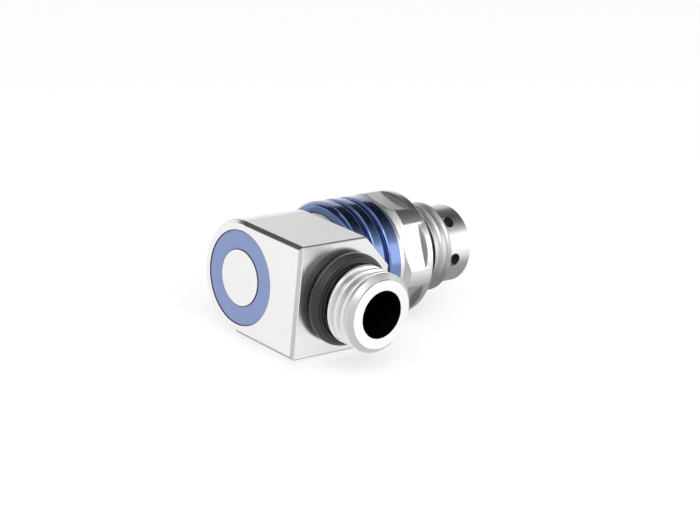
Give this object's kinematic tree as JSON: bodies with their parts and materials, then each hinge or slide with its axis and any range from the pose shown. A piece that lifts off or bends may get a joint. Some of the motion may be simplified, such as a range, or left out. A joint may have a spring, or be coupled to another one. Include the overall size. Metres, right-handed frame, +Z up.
{
  "type": "liquid cooling quick coupling",
  "caption": "Elbow quick coupling for coolant: a square block with a threaded side port and a ball-locked, flat-face dry-break socket with a sprung release sleeve.",
  "frame": {"origin": "on the coupling axis at the outer end of the socket bore, just inside the mouth's lead-in", "axes": "+X out of the socket's mouth, -Y out of the threaded port, +Z up"},
  "size_m": [0.0547, 0.0421, 0.0256],
  "materials": {
    "satin_steel": "satin nickel-plated steel",
    "bright_steel": "fine turned stainless steel",
    "ball_steel": "polished bearing steel",
    "spring_wire": "drawn spring steel",
    "blue_anodised": "glossy blue anodised aluminium",
    "blue_marker": "matt blue marker ring",
    "black_rubber": "smooth black rubber"
  },
  "bodies": {
    "body": {"elbow_block": "satin_steel", "colour_ring": "blue_marker", "port_seal": "black_rubber", "ribbed_sleeve": "blue_anodised", "hex_body": "satin_steel", "joint_seal": "black_rubber", "inner_barrel": "bright_steel", "mouth_seal": "black_rubber", "sleeve_spring": "spring_wire", "retaining_ring": "spring_wire", "valve_spring": "spring_wire", "valve_stem": "bright_steel", "stem_seal": "black_rubber", "stem_carrier": "bright_steel", "stem_nut": "bright_steel"},
    "release_sleeve": {"release_sleeve": "satin_steel"},
    "valve_sleeve": {"valve_sleeve": "bright_steel", "valve_seal": "black_rubber"},
    "locking_ball_1": {"locking_ball_1": "ball_steel"},
    "locking_ball_2": {"locking_ball_2": "ball_steel"},
    "locking_ball_3": {"locking_ball_3": "ball_steel"},
    "locking_ball_4": {"locking_ball_4": "ball_steel"},
    "locking_ball_5": {"locking_ball_5": "ball_steel"},
    "locking_ball_6": {"locking_ball_6": "ball_steel"}
  },
  "joints": [
    {"name": "release_slide", "type": "slide", "parent": "body", "child": "release_sleeve", "axis": [-1, 0, 0], "range_m": [0, 0.003], "stiffness_N_per_m": 1200, "springref_m": -0.002, "deforming": ["sleeve_spring"]},
    {"name": "valve_slide", "type": "slide", "parent": "body", "child": "valve_sleeve", "axis": [-1, 0, 0], "range_m": [0, 0.004], "stiffness_N_per_m": 900, "springref_m": -0.003, "deforming": ["valve_spring"]},
    {"name": "ball_slide_1", "type": "slide", "parent": "body", "child": "locking_ball_1", "axis": [0, -0.9171, 0.3987], "range_m": [0, 0.0009]},
    {"name": "ball_slide_2", "type": "slide", "parent": "body", "child": "locking_ball_2", "axis": [0, -0.1132, 0.9936], "range_m": [0, 0.0009]},
    {"name": "ball_slide_3", "type": "slide", "parent": "body", "child": "locking_ball_3", "axis": [0, 0.8039, 0.5948], "range_m": [0, 0.0009]},
    {"name": "ball_slide_4", "type": "slide", "parent": "body", "child": "locking_ball_4", "axis": [0, 0.9171, -0.3987], "range_m": [0, 0.0009]},
    {"name": "ball_slide_5", "type": "slide", "parent": "body", "child": "locking_ball_5", "axis": [0, 0.1132, -0.9936], "range_m": [0, 0.0009]},
    {"name": "ball_slide_6", "type": "slide", "parent": "body", "child": "locking_ball_6", "axis": [0, -0.8039, -0.5948], "range_m": [0, 0.0009]}
  ],
  "couplings": [
    {"joint": "ball_slide_1", "follows": "release_slide", "ratio": 0.3},
    {"joint": "ball_slide_2", "follows": "release_slide", "ratio": 0.3},
    {"joint": "ball_slide_3", "follows": "release_slide", "ratio": 0.3},
    {"joint": "ball_slide_4", "follows": "release_slide", "ratio": 0.3},
    {"joint": "ball_slide_5", "follows": "release_slide", "ratio": 0.3},
    {"joint": "ball_slide_6", "follows": "release_slide", "ratio": 0.3}
  ]
}
